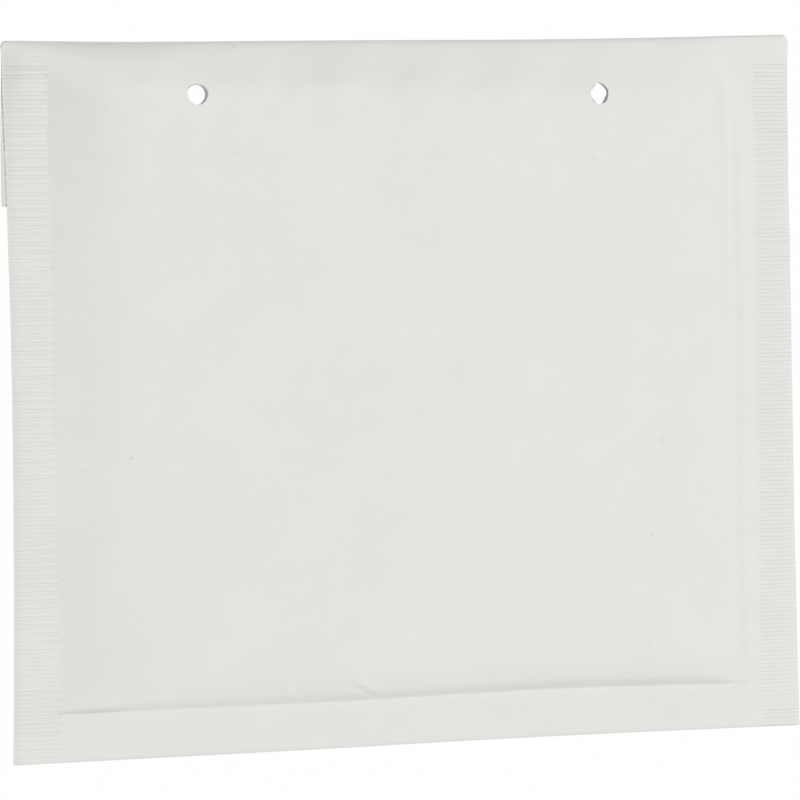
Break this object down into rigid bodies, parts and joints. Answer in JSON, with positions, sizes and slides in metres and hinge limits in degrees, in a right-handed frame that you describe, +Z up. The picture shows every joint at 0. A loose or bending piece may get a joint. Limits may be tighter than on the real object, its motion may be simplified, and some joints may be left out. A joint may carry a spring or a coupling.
{
  "type": "padded envelope",
  "caption": "Flat padded mailing envelope of white paper, lying face up, with crimped side seams, a flap folded shut underneath and fastener holes near its fold.",
  "frame": {"origin": "middle of the rectangle that the envelope covers, on the surface it lies on", "axes": "+Z up out of the address face, +Y towards the flap's fold, +X towards the right-hand seam as the address face is read"},
  "size_m": [0.2, 0.175, 0.0085],
  "materials": {
    "kraft_paper": "matte",
    "release_paper": "satin"
  },
  "bodies": {
    "root": {"envelope": "kraft_paper", "release_strip": "release_paper"}
  },
  "joints": []
}
